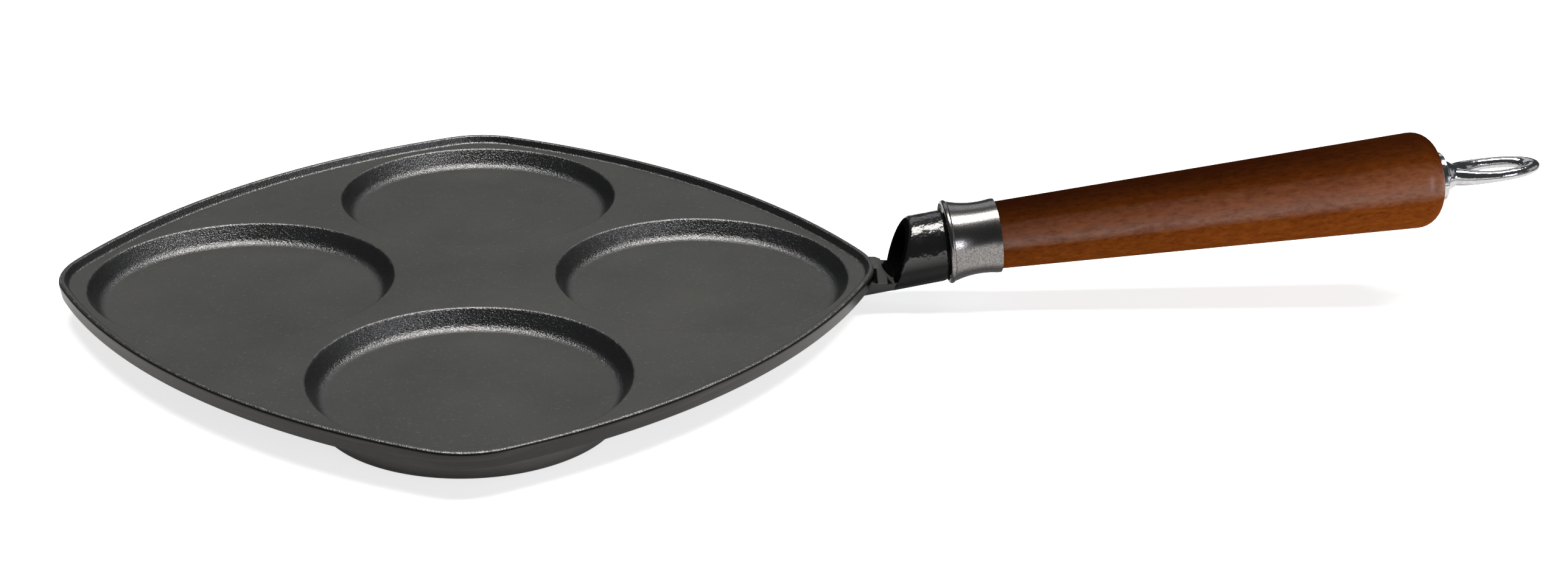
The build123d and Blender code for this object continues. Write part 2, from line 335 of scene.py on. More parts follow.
def surface_mesh(name, grids, values):
    """A mesh from (points, wrap_columns, wrap_rows) grids. Seams and poles are merged, and all
    faces are turned outwards. values maps a name to one number per grid point."""
    points, faces, count = [], [], 0
    for grid, wrap_columns, wrap_rows in grids:
        rows, columns, _ = grid.shape
        points.append(grid.reshape(-1, 3))
        faces.append(grid_faces(rows, columns, count, wrap_columns, wrap_rows))
        count += rows * columns
    mesh = bpy.data.meshes.new(name)
    mesh.from_pydata(np.concatenate(points), [], np.concatenate(faces))
    for label, shares in values.items():
        layer = mesh.attributes.new(label, "FLOAT", "POINT")
        flat = np.concatenate([share.ravel() for share in shares]).astype(np.float32)
        layer.data.foreach_set("value", flat)
    solid = bmesh.new()
    solid.from_mesh(mesh)
    bmesh.ops.remove_doubles(solid, verts=solid.verts, dist=SEAM_GAP)
    bmesh.ops.recalc_face_normals(solid, faces=solid.faces)
    solid.to_mesh(mesh)
    solid.free()
    return mesh


def make_piece(name, grids, material, body, replaced=(), values=None):
    """Makes a smooth surface, gives it its finish, and lets it ride on its body."""
    mesh = surface_mesh(name, grids, values or {})
    mesh.shade_smooth()
    mesh.materials.append(material)
    piece = bpy.data.objects.new(name, mesh)
    scene.collection.objects.link(piece)
    even = piece.modifiers.new("even_normals", "WEIGHTED_NORMAL")
    even.keep_sharp = True
    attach(piece, body)
    if replaced:
        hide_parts(*replaced)
    print(f"{name}: {len(mesh.vertices)} points, {len(mesh.polygons)} faces")
    return piece


print("Points closer than", SEAM_GAP * 1000, "mm are merged")

# %% [markdown]
# ## The plate
#
# Seen from above, the plate is a square on its corner: four arcs of a small radius at the
# corners and four of a very large one along the sides. A point of that outline is easiest to
# find from the direction in which the edge faces, because every line drawn in from the edge by
# the same distance then has the same arc centres. Cutting four holes in a plate with a Boolean
# would leave long thin faces that shade badly. So each well owns a quarter of the plate: rays
# run from its middle, through the rings of its turned profile, out to the rim or to the line
# between two wells. The rim is one profile carried round the outline.

# %% Sizes of the plate
WELL_REACH = 74 * MM                    # from the pan's middle to a well's middle
WELL_RADIUS = 48 * MM                   # at the deck
WELL_DEPTH = 6.5 * MM
WELL_WALL = math.radians(28)            # how far the wall leans from upright
WELL_FLOOR_ROUND = 4 * MM
WELL_EDGE_ROUND = 1 * MM
CORNER_REACH = 131 * MM                 # from the pan's middle to a corner's outermost point
CORNER_RADIUS = 28 * MM
SIDE_RADIUS = 228 * MM
DECK = 11.8 * MM                        # heights over the hob
RIM_TOP = 14.5 * MM
UNDERSIDE = 8.9 * MM
RIM_WIDTH = 2.1 * MM                    # across the rim's top
RIM_SLOPE = 0.8 * MM                    # how much farther in the rim meets the deck
WALL_LEAN = 0.8 * MM                    # how far in the outer wall ends below
RIM_FOOT_ROUND = 1 * MM
RIM_INNER_ROUND = 0.7 * MM
RIM_OUTER_ROUND = 1.1 * MM
UNDERSIDE_ROUND = 0.7 * MM
PAD_RADIUS = 45 * MM                    # on the hob
PAD_WALL = math.radians(21)
PAD_EDGE_ROUND = 2 * MM
PAD_ROOT_ROUND = 1.5 * MM
print("The iron under a well is", round((DECK - WELL_DEPTH) / MM, 1), "mm thick")

# %% Outline of the plate
QUARTER = math.pi / 2
CORNER_STEPS, SIDE_STEPS = 12, 38
CORNER_CENTRE = CORNER_REACH - CORNER_RADIUS
# A side's arc centre is at (-s, -s) from the middle. Its distance from the corner arc's centre
# is the side's radius less the corner's, because the two arcs touch. That gives s.
SIDE_CENTRE = (math.sqrt(2 * (SIDE_RADIUS - CORNER_RADIUS) ** 2 - CORNER_CENTRE ** 2)
               - CORNER_CENTRE) / 2
CORNER_TURN = math.atan2(SIDE_CENTRE, CORNER_CENTRE + SIDE_CENTRE)


def outline(facing, inset):
    """x + iy of the edge that faces this way, drawn in by inset: an arc centre plus its radius
    along the facing direction, with corner arcs near each axis and side arcs between them."""
    turn = np.round(facing / QUARTER)
    own = facing - turn * QUARTER
    on_corner = np.abs(own) <= CORNER_TURN
    centre = np.where(on_corner, CORNER_CENTRE, -SIDE_CENTRE * (1 + 1j * np.sign(own)))
    radius = np.where(on_corner, CORNER_RADIUS, SIDE_RADIUS) - inset
    return (centre + radius * np.exp(1j * own)) * np.exp(1j * turn * QUARTER)


half_facings = np.concatenate([np.linspace(0, CORNER_TURN, CORNER_STEPS, endpoint=False),
                               np.linspace(CORNER_TURN, QUARTER / 2, SIDE_STEPS + 1)])
facings = np.concatenate([-half_facings[:0:-1], half_facings])
print("Each corner's arc turns", round(math.degrees(2 * CORNER_TURN), 1), "degrees")

# %% Profiles of well, pad and rim
FLAT = 1.5 * MM                         # each profile ends on a short flat past its round
BELOW_EDGE = 1.4 * MM                   # each wall has one more point, this far below its edge
WELL_STEP, PAD_STEP, RIM_STEP = 5 * MM, 9 * MM, 1.6 * MM
floor_radius = WELL_RADIUS - WELL_DEPTH * math.tan(WELL_WALL)
well_profile = spaced(rounded((0, DECK - WELL_DEPTH, 0),
                              (floor_radius, DECK - WELL_DEPTH, WELL_FLOOR_ROUND),
                              (WELL_RADIUS - BELOW_EDGE * math.tan(WELL_WALL), DECK - BELOW_EDGE, 0),
                              (WELL_RADIUS, DECK, WELL_EDGE_ROUND),
                              (WELL_RADIUS + FLAT, DECK, 0)), WELL_STEP)
pad_top = PAD_RADIUS + UNDERSIDE * math.tan(PAD_WALL)
pad_profile = spaced(rounded((0, 0, 0), (PAD_RADIUS, 0, PAD_EDGE_ROUND),
                             (pad_top, UNDERSIDE, PAD_ROOT_ROUND),
                             (pad_top + FLAT, UNDERSIDE, 0)), PAD_STEP)
deck_inset = RIM_WIDTH + RIM_SLOPE + FLAT
under_inset = WALL_LEAN + FLAT
down_the_wall = BELOW_EDGE / (RIM_TOP - UNDERSIDE)
rim_profile = spaced(rounded((deck_inset, DECK, 0),
                             (RIM_WIDTH + RIM_SLOPE, DECK, RIM_FOOT_ROUND),
                             (RIM_WIDTH, RIM_TOP, RIM_INNER_ROUND), (0, RIM_TOP, RIM_OUTER_ROUND),
                             (WALL_LEAN * down_the_wall, RIM_TOP - BELOW_EDGE, 0),
                             (WALL_LEAN, UNDERSIDE, UNDERSIDE_ROUND),
                             (under_inset, UNDERSIDE, 0)), RIM_STEP)
print("Points: well", len(well_profile), "pad", len(pad_profile), "rim", len(rim_profile))

# %% Quarters of the plate, and its rim
BETWEEN_STEPS, DECK_STEPS = 40, 7


def quarter_edge(inset):
    """The closed edge of one well's quarter: the outline, in along the line to the next well,
    and out along the other line. Points on the lines lie in even directions from the well."""
    rim_line = outline(facings, inset)
    first = np.angle(rim_line[-1] - WELL_REACH)
    ways = np.linspace(first, math.pi, BETWEEN_STEPS + 1)[1:]
    reach = WELL_REACH * np.sin(ways) / np.sin(ways - QUARTER / 2)
    inward = reach * np.exp(1j * QUARTER / 2)
    return np.concatenate([rim_line, inward, np.conj(inward[-2::-1])])


def quarter_surface(profile, inset, turn):
    """One well or pad and the flat round it. Ring: middle + radius along each ray. Flat: an even
    share of the way from the last ring to the quarter's edge. All turned by quarter turns."""
    edge = quarter_edge(inset)
    rays = (edge - WELL_REACH) / abs(edge - WELL_REACH)
    rings = WELL_REACH + profile[:, :1] * rays
    share = np.linspace(0, 1, DECK_STEPS + 1)[1:, None]
    plan = np.concatenate([rings, rings[-1] + (edge - rings[-1]) * share]) * 1j ** turn
    height = np.append(profile[:, 1], np.full(DECK_STEPS, profile[-1, 1]))[:, None] + 0 * plan.real
    return np.stack([plan.real, plan.imag, height], -1)


def rim_surface():
    """The rim's profile carried round the outline: (inset, height) becomes a loop of points."""
    all_round = np.concatenate([facings[:-1] + QUARTER * turn for turn in range(4)])
    plan = outline(all_round[None, :], rim_profile[:, :1])
    return np.stack([plan.real, plan.imag, rim_profile[:, 1:] + 0 * plan.real], -1)


tops = [quarter_surface(well_profile, deck_inset, turn) for turn in range(4)]
unders = [quarter_surface(pad_profile, under_inset, turn) for turn in range(4)]
rim = rim_surface()
print("The rim reaches", round(rim.max() / MM, 2), "mm from the middle")

# %% [markdown]
# ## The skin of cast iron
#
# A sand mould leaves a fine grain on iron. It is shallow, dull and grey where the iron is flat.
# On the walls of the wells it is deeper, black and glossy, and catches the light in flecks. An
# image texture would stretch on the walls, and its joins would show. Noise in Object
# coordinates has the same grain everywhere. One node group makes it for every iron surface,
# and each material places that group with its own values.


# %% An empty group
def group_with(name, inputs, outputs):
    """An empty node group with named inputs (name, value) and outputs (name)."""
    tree = bpy.data.node_groups.new(name, "ShaderNodeTree")
    for label, value in inputs:
        socket = tree.interface.new_socket(label, in_out="INPUT", socket_type="NodeSocketFloat")
        socket.default_value = value
    for label in outputs:
        tree.interface.new_socket(label, in_out="OUTPUT", socket_type="NodeSocketFloat")
    return tree, add(tree, "NodeGroupInput"), add(tree, "NodeGroupOutput")


print("Node groups so far:", len(bpy.data.node_groups))

# %% Grain of cast iron
FINE_GRAIN, SPECK_GRAIN = 3.1, 0.7      # scale of these noises, as a share of the coarse one's
FINE_SHARE = 0.35
SPECK_TOPS = (0.60, 0.78)
CLOUD_SCALE = 22.0


def make_cast_skin():
    """Height: a coarse noise plus a share of a fine one. Fleck: the tops of a third noise times
    Flecks. Cloud: a slow change of tone."""
    tree, given, made = group_with("cast_skin", [("Grain", 900.0), ("Flecks", 0.5)],
                                   ["Height", "Fleck", "Cloud"])
    place, grain = object_place(tree), given.outputs["Grain"]
    coarse = noise(tree, place, grain, detail=2.0, roughness=0.55)
    fine = noise(tree, place, combine(tree, "MULTIPLY", grain, FINE_GRAIN), detail=1.0)
    height = combine(tree, "ADD", coarse, combine(tree, "MULTIPLY", fine, FINE_SHARE))
    specks = noise(tree, place, combine(tree, "MULTIPLY", grain, SPECK_GRAIN), roughness=0.65)
    fleck = combine(tree, "MULTIPLY", between(tree, specks, *SPECK_TOPS), given.outputs["Flecks"])
    cloud = noise(tree, place, CLOUD_SCALE, detail=4.0, roughness=0.6)
    for label, value in (("Height", height), ("Fleck", fleck), ("Cloud", cloud)):
        feed(tree, made.inputs[label], value)
    return tree


cast_skin = make_cast_skin()


def skin_of(tree, grain, flecks):
    """The outputs of the group, placed in a material with its own grain and flecks."""
    return add(tree, "ShaderNodeGroup", {"node_tree": cast_skin}, Grain=grain, Flecks=flecks).outputs


print("Group", cast_skin.name, "puts out", [item.name for item in cast_skin.interface.items_tree
                                            if item.in_out == "OUTPUT"])


# %% Where a pattern lies
def attribute(tree, name):
    """A value that each point of the mesh carries."""
    return add(tree, "ShaderNodeAttribute", {"attribute_name": name}).outputs["Fac"]


def stretched(tree, place, scale):
    """Coordinates times a scale along each axis. A pattern is drawn out where it is lowest."""
    return add(tree, "ShaderNodeMapping", Vector=place, Scale=scale).outputs[0]


def axis_of(tree, vector, axis):
    """One of a vector's three parts."""
    return add(tree, "ShaderNodeSeparateXYZ", Vector=vector).outputs[axis]


print("The plate's points will carry four values: wall, outside, edge and inside")


# %% Layers of a finish
def ramp(tree, value, stops):
    """A colour ramp from a list of (place, colour) stops."""
    node = add(tree, "ShaderNodeValToRGB", Fac=value)
    elements = node.color_ramp.elements
    for element, (place, colour) in zip(elements, (stops[0], stops[-1])):
        element.position = place
        element.color = (*colour, 1)
    for place, colour in stops[1:-1]:
        elements.new(place).color = (*colour, 1)
    return node.outputs["Color"]


def bump(tree, height, strength, distance):
    """A normal that leans as if the surface rose by distance * height."""
    return add(tree, "ShaderNodeBump", Strength=strength, Distance=distance, Height=height).outputs[0]


def mix_shaders(tree, share, first, second):
    """The first shader where share is 0, and the second where it is 1."""
    node = tree.nodes.new("ShaderNodeMixShader")
    for socket, value in zip(node.inputs, (share, first, second)):
        feed(tree, socket, value)
    return node.outputs[0]


def painted_shade_black(tree):
    """Black that mirrors almost nothing: painted shade for hollows and corners."""
    return principled(tree, Base_Color=(*grey(0.003), 1), Roughness=1.0, IOR=1.05)


print("Each finish is mixed from layers, with soot as the last one")

# %% [markdown]
# ## Iron of the plate
#
# The plate shows four finishes of the same iron. Deck and floors are dull grey. The outside is
# smoother and darker, with faint level streaks from the mould. The pads are painted paler, as
# painted light against the shade under the plate.
# The walls of the wells are black, pebbled and glossy. Along the edges the black is worn
# through in dashes. Four materials on four sets of faces would have hard borders, so one
# material mixes them by values that the points carry.

# %% Three kinds of iron
SKIRT_FADE = 0.4 * MM
DECK_TONES = [(0.3, (0.035, 0.036, 0.034)), (0.7, (0.048, 0.048, 0.045))]
FLECK_TONE = (0.09, 0.09, 0.085)
# The pads' tone is painted light: much paler than the walls, against the shade under the plate.
PAD_PAINTED_LIGHT_TONE, WALL_TONE = (0.150, 0.143, 0.136), (0.028, 0.026, 0.025)
STREAK_TONE, STREAK_STRETCH = (0.090, 0.085, 0.082), (40, 40, 700)
STREAK_TOPS, STREAK_SHARES = (0.50, 0.75), (0.0, 0.3)
PEBBLE_TONES, WORN_TONE = [(0.45, grey(0.002)), (0.85, grey(0.010))], grey(0.055)


def deck_iron(tree, skin, fine_grain):
    """A dull grey that clouds slowly, with a few paler flecks."""
    tone = mix_colours(tree, skin["Fleck"], ramp(tree, skin["Cloud"], DECK_TONES), FLECK_TONE)
    return principled(tree, Base_Color=tone, Roughness=0.6, IOR=1.33, Normal=fine_grain)


def outer_iron(tree, place, fine_grain):
    """Pad tone below the underside's level, which is painted light against the shade there, wall tone
    above it, and level streaks over both.
    """
    above = between(tree, axis_of(tree, place, "Z"), UNDERSIDE - SKIRT_FADE, UNDERSIDE + SKIRT_FADE)
    tone = mix_colours(tree, above, PAD_PAINTED_LIGHT_TONE, WALL_TONE)
    streaks = noise(tree, stretched(tree, place, STREAK_STRETCH), 1.0)
    tone = mix_colours(tree, between(tree, streaks, *STREAK_TOPS, *STREAK_SHARES), tone, STREAK_TONE)
    return principled(tree, Base_Color=tone, Roughness=0.28, IOR=1.34, Normal=fine_grain)


def pebbled_iron(tree, worn):
    """Black and glossy over pebbles, and paler where it is worn."""
    skin = skin_of(tree, grain=1600.0, flecks=1.0)
    tone = mix_colours(tree, worn, ramp(tree, skin["Height"], PEBBLE_TONES), WORN_TONE)
    return principled(tree, Base_Color=tone, Roughness=0.22, IOR=2.2,
                      Normal=bump(tree, skin["Height"], strength=0.8, distance=0.31 * MM))


print("Outer iron changes its tone at a height of", round(UNDERSIDE / MM, 1), "mm")

# %% Iron of the plate
DASH_SCALE, DASH_TOPS = 360.0, (0.50, 0.60)


def plate_iron():
    """Deck or outer iron, then pebbled iron where there is a wall or wear, then black painted shade.
    Wear is the edge value times the tops of a noise, which breaks it into dashes."""
    material, tree = new_material("plate_iron")
    place, skin = object_place(tree), skin_of(tree, grain=1500.0, flecks=1.0)
    fine_grain = bump(tree, skin["Height"], strength=0.3, distance=0.12 * MM)
    dashes = between(tree, noise(tree, place, DASH_SCALE, roughness=0.6), *DASH_TOPS)
    worn = combine(tree, "MULTIPLY", attribute(tree, "edge"), dashes)
    smooth = mix_shaders(tree, attribute(tree, "outside"), deck_iron(tree, skin, fine_grain),
                         outer_iron(tree, place, fine_grain))
    pebbled = combine(tree, "MAXIMUM", attribute(tree, "wall"), worn)
    iron_skin = mix_shaders(tree, pebbled, smooth, pebbled_iron(tree, worn))
    # The inside value marks where shade is painted black.
    finish_material(tree, mix_shaders(tree, attribute(tree, "inside"), iron_skin, painted_shade_black(tree)))
    return material


iron = plate_iron()
print("Material", iron.name, "has", len(iron.node_tree.nodes), "nodes")

# %% [markdown]
# ## Where the plate is worn and sooty
#
# The finish needs to know where it is: on a wall, outside, on an edge, or in a corner where shade is
# painted black.
# Painting those by hand takes long and is lost when a size changes. The shapes are formulas, so
# the same formulas say where each mark lies, one number for each point of the grids.

# %% Walls and worn edges of the wells
FLAT_SLOPE, WALL_SLOPE = 0.08, 0.5      # drop over distance, for a flat and for a wall
TINY = 1e-12
# Heights at which the wear of a well's edge starts and ends.
WELL_WEAR_STARTS, WELL_WEAR_ENDS = (DECK - 0.75 * MM, DECK - 0.45 * MM), (DECK, DECK - 0.05 * MM)
WELL_WEAR = 0.35


def share_between(value, low, high):
    """0 at low and 1 at high, held past both: (value - low) / (high - low), clipped."""
    return np.clip((value - low) / (high - low), 0, 1)


def wall_share(grid):
    """0 on a flat and 1 on a wall, from the drop down the profile over its length."""
    slopes = np.gradient(grid, axis=0)
    steep = np.abs(slopes[..., 2]) / (np.linalg.norm(slopes, axis=-1) + TINY)
    return share_between(steep, FLAT_SLOPE, WALL_SLOPE)


def well_wear(grid):
    """Wear of a well's edge: it starts a little below the deck and ends just under it."""
    height = grid[..., 2]
    return WELL_WEAR * share_between(height, *WELL_WEAR_STARTS) * share_between(height, *WELL_WEAR_ENDS)


print("Points on one well's wall:", int((wall_share(tops[0]) > 0.5).sum()), "of", tops[0][..., 0].size)

# %% Wear, painted dark line and painted shade in the pocket of the rim
# Distances below the rim's top: where wear ends, and where the dark line starts and ends. The line is a
# painted dark reflection along the rim's outer round.
WEAR_ENDS, LINE_STARTS, LINE_ENDS = (0.4 * MM, 0.25 * MM), (0.3 * MM, 0.42 * MM), (0.85 * MM, 0.7 * MM)
PAINTED_LINE_STRENGTH = 0.85
# The rim's outer round takes about eight rows of its profile. Its middle is four rows in.
ROUND_ROWS, HALF_ROUND_ROWS = 8, 4
# The pocket of painted shade on the outer wall beside the web: along x, beside the web, and in height.
POCKET_ALONG, POCKET_BESIDE = (123 * MM, 125 * MM), (3.5 * MM, 5 * MM)
POCKET_TOP, POCKET_FOOT = RIM_TOP - 0.3 * MM, 10.8 * MM
POCKET_FOOT_RISE, POCKET_FOOT_BESIDE = 2.6 * MM, (11 * MM, 17 * MM)


def pocket_painted_shade(x, y, z):
    """Share along x times share beside the web, between the pocket's foot and its top."""
    foot = POCKET_FOOT + POCKET_FOOT_RISE * share_between(abs(y), *POCKET_FOOT_BESIDE)
    inside = (z < POCKET_TOP) & (z > foot)
    return share_between(x, *POCKET_ALONG) * share_between(abs(y), *POCKET_BESIDE) * inside


def rim_marks():
    """Wall, outside, edge and inside values of the rim, by row of its profile and by how far a
    point has fallen below the rim's top."""
    outer_row = rim_profile[:, 0].argmin()
    row = np.arange(len(rim_profile))[:, None] + 0 * rim[..., 0]
    fallen, on_round = RIM_TOP - rim[..., 2], row > outer_row - ROUND_ROWS
    # The dark line is painted: a dark reflection along the outer round, carried in the inside value.
    line = PAINTED_LINE_STRENGTH * share_between(fallen, *LINE_STARTS) * share_between(fallen, *LINE_ENDS)
    # Inside is painted shade in the pocket beside the web.
    pocket = pocket_painted_shade(*np.moveaxis(rim, -1, 0)) * (row >= outer_row)
    return {"wall": wall_share(rim) * (row < outer_row - HALF_ROUND_ROWS),
            "outside": 1.0 * (row > outer_row - HALF_ROUND_ROWS),
            "edge": share_between(fallen, *WEAR_ENDS) * on_round,
            "inside": np.maximum(pocket, line * on_round)}


rim_values = rim_marks()
print("Dark points on the rim:", int((rim_values["inside"] > 0.5).sum()), "of", rim[..., 0].size)

# %% Marks of the whole plate
bare_tops, bare_unders = [0 * grid[..., 0] for grid in tops], [0 * grid[..., 0] for grid in unders]
plate_marks = {"wall": [wall_share(grid) for grid in tops] + bare_unders,
               "outside": bare_tops + [1 + bare for bare in bare_unders],
               "edge": [well_wear(grid) for grid in tops] + bare_unders,
               "inside": bare_tops + bare_unders}
for mark, values in rim_values.items():
    plate_marks[mark].append(values)
print("Marks:", ", ".join(plate_marks), "on", len(plate_marks["wall"]), "surfaces")

# %% Build the plate
plate = make_piece("plate", [(grid, True, False) for grid in tops + unders + [rim]], iron, "pan",
                   ["pan_body"], plate_marks)

# %% [markdown]
# ## Socket
#
# A hollow tube is cast on the pan's corner, about an axis that rises by 10.8 degrees. Its mouth
# slants away from the plate, and its other end stands square to the handle, which rises by only
# 7.3 degrees. Cutting a cylinder with two planes would leave sharp edges. Here the tube is a
# turned profile with its rounds, whose ends are then slanted: each point slides along the axis
# by its height above the axis, times a slope that changes evenly from one end to the other.

# %% Sizes of the socket
HANDLE_TILT = math.radians(7.3)
SOCKET_TILT = math.radians(10.8)
MOUTH_LEAN = math.radians(14)
JOINT = np.array([155 * MM, 0, 21.5 * MM])      # where socket and ferrule meet, on the rod's axis
SOCKET_DROP = 0.95 * MM                         # the socket's axis lies this far under the joint
SOCKET_RADIUS, BORE_RADIUS, ROD_HOLE = 11.75 * MM, 8.75 * MM, 3.2 * MM
END_WALL = 4 * MM
END_ROUND, MOUTH_ROUND, MOUTH_INNER_ROUND, BORE_END_ROUND = 2.5 * MM, 1.8 * MM, 0.6 * MM, 0.8 * MM
MOUTH_X = 138 * MM
TUBE_STEP, TUBE_COUNT = 2 * MM, 96
socket_foot = JOINT - SOCKET_DROP * np.array([-math.sin(HANDLE_TILT), 0, math.cos(HANDLE_TILT)])
mouth_along = -(JOINT[0] - MOUTH_X) / math.cos(SOCKET_TILT)
print("The socket is", round(-mouth_along / MM, 1), "mm long on its axis")


# %% The slanted tube
def placed(origin, tilt, along, across, up):
    """origin + along * axis + across * y + up * the upright, about an axis that rises by tilt."""
    along, across, up = np.broadcast_arrays(along, across, up)
    cos, sin = math.cos(tilt), math.sin(tilt)
    return origin + np.stack([along * cos - up * sin, across, along * sin + up * cos], -1)


def on_axis(origin, tilt, along, radius, angle):
    """A point at this radius, turned by angle from upright about the axis."""
    return placed(origin, tilt, along, radius * np.sin(angle), radius * np.cos(angle))


def around(count):
    """Even angles over a full turn."""
    return np.linspace(0, 2 * math.pi, count, endpoint=False)


def socket_tube(profile):
    """The turned tube, with each end slanted: along += height over the axis * slope."""
    angle = around(TUBE_COUNT)
    radius, along = profile[:, :1], profile[:, 1:]
    share = np.clip(along / mouth_along, 0, 1)
    foot_slope, mouth_slope = math.tan(SOCKET_TILT - HANDLE_TILT), math.tan(MOUTH_LEAN + SOCKET_TILT)
    slope = (1 - share) * foot_slope + share * mouth_slope
    return on_axis(socket_foot, SOCKET_TILT, along + radius * np.cos(angle) * slope, radius, angle)


tube_line = spaced(rounded((ROD_HOLE, 0, 0), (SOCKET_RADIUS, 0, END_ROUND),
                           (SOCKET_RADIUS, mouth_along, MOUTH_ROUND),
                           (BORE_RADIUS, mouth_along, MOUTH_INNER_ROUND),
                           (BORE_RADIUS, -END_WALL, BORE_END_ROUND),
                           (ROD_HOLE, -END_WALL, 0)), TUBE_STEP)
tube = socket_tube(tube_line)
print("The socket's top stands", round(tube[..., 2].max() / MM, 1), "mm over the hob")

# %% [markdown]
# ## Neck and web
#
# A neck runs out from under the plate's corner and rises into the socket's lower half. A web
# with slanted flanks joins it to the rim, and the bore runs out into it as a scoop with a fine
# lip. Sculpting could give this shape, but not at a size that can be changed. It is a row of
# upright sections: the lower part of an ellipse, and a height over its width for the top.

# %% Sizes of the neck
NECK_RADIUS = 11.65 * MM
NECK_START = 118 * MM
# The ledge's x and its height, where the neck comes out from under the well and the rim.
LEDGE_X, LEDGE_HEIGHT = np.array([(118, 119, 121, 122.6), (5.2, 5.9, 9.3, 11)]) * MM
WEB_START, WEB_BEND = 129.9 * MM, 131.8 * MM    # where it leaves the rim, and where its top falls
WEB_FALL, WEB_FLARE = math.radians(38), math.radians(55)
WEB_HALF, WEB_HIGH = 5 * MM, 14.45 * MM
SCOOP_LENGTH, SCOOP_ROUND = 5.2 * MM, 6 * MM    # how far the bore runs past the mouth, rounded
LIP_START, LIP_SPREAD, LIP_WIDTH = 133.9 * MM, 0.27, 0.9 * MM
GROOVE_SHARE, GROOVE_DEPTH, GROOVE_GAP = 0.3, 0.5 * MM, 0.5 * MM
FINE_START, FINE_END = 132.8 * MM, 137.6 * MM   # sections stand closest round the scoop
LEAN_START = 137 * MM                           # from here on, sections lean to the mouth's slant
NECK_OVERLAP = 2 * MM                           # how far the neck reaches into the socket
print("The web is", round((MOUTH_X - WEB_START) / MM, 1), "mm long")

# %% Bore and scoop
LOWEST_SCOOP = 4 * MM
HALVINGS = 18


def axis_height(x):
    """Height of the socket's axis over this x."""
    return socket_foot[2] - (socket_foot[0] - x) * math.tan(SOCKET_TILT)


def bore_floor(x, y):
    """Height at which a point that rises over x and y enters the bore, found by halving. Near
    its end the bore's radius is radius - round + sqrt(round^2 - (round - way past the end)^2)."""
    cos, sin = math.cos(SOCKET_TILT), math.sin(SOCKET_TILT)
    low, high = LOWEST_SCOOP + 0 * x * y, axis_height(x) + 0 * y
    for _ in range(HALVINGS):
        z = (low + high) / 2
        past = (x - socket_foot[0]) * cos + (z - socket_foot[2]) * sin - mouth_along + SCOOP_LENGTH
        short = SCOOP_ROUND - np.clip(past, 0, SCOOP_ROUND)
        radius = BORE_RADIUS - SCOOP_ROUND + np.sqrt(SCOOP_ROUND ** 2 - short ** 2)
        off = (z - socket_foot[2]) * cos - (x - socket_foot[0]) * sin
        inside = (past > 0) & (y ** 2 + off ** 2 < radius ** 2)
        low, high = np.where(inside, low, z), np.where(inside, z, high)
    return high


print("The bore's floor at the mouth is", round(float(bore_floor(MOUTH_X, 0.0)) / MM, 1), "mm high")

# %% Top of the neck
# Painted shade lies in the scoop, on the far side's lip, thinly in the groove, and on the web's
# flanks, where it is thick only as far out as the pocket reaches.
FAR_SIDE, FAR_LIP_EDGE, POCKET_END = 1.5 * MM, 0.4 * MM, 131.0 * MM
GROOVE_PAINTED_SHADE, FLANK_PAINTED_SHADE = 0.7, 0.4


def neck_top(x, across, ledge, webbed):
    """Height and painted shade of the top. Crest: the web's height less the way past its bend *
    tan(fall).
    Flank: the rim's top less the way beside the web / tan(flare). The web is the lower of these,
    but not under the ledge. The groove lowers it, and the bore's floor cuts it off."""
    beside = np.abs(across)
    crest = WEB_HIGH - np.clip(x - WEB_BEND, 0, None) * math.tan(WEB_FALL)
    flank = RIM_TOP - (beside - WEB_HALF) / math.tan(WEB_FLARE)
    top = np.where(webbed, np.maximum(np.minimum(crest, flank), ledge), ledge)
    lip_edge = LIP_START + LIP_SPREAD * beside
    groove_end = lip_edge - LIP_WIDTH
    groove = ((x > groove_end - (beside - WEB_HALF) * GROOVE_SHARE) & (x < groove_end)
              & (beside > WEB_HALF + GROOVE_GAP))
    top = np.where(groove & (top > ledge), np.maximum(top - GROOVE_DEPTH, ledge), top)
    floor_height = bore_floor(x, across)
    scoop, far_lip = floor_height < top, (across > FAR_SIDE) & (x > lip_edge - FAR_LIP_EDGE)
    flanks = (webbed & (flank < crest) & (flank > ledge)) * np.where(x < POCKET_END, 1, FLANK_PAINTED_SHADE)
    # Painted shade: black in the scoop and on the far lip, thinner in the groove and on the flanks.
    shaded_share = 1.0 * (scoop | far_lip) + GROOVE_PAINTED_SHADE * groove + flanks
    return np.minimum(top, floor_height), np.clip(shaded_share, 0, 1)


print("The web's crest falls by", round((FINE_END - WEB_BEND) * math.tan(WEB_FALL) / MM, 1), "mm")

# %% Sections of the neck
SECTIONS_BEFORE_WEB, WEB_SECTIONS, FINE_SECTIONS, LAST_SECTIONS = 10, 10, 42, 5
TOP_COUNT = 65


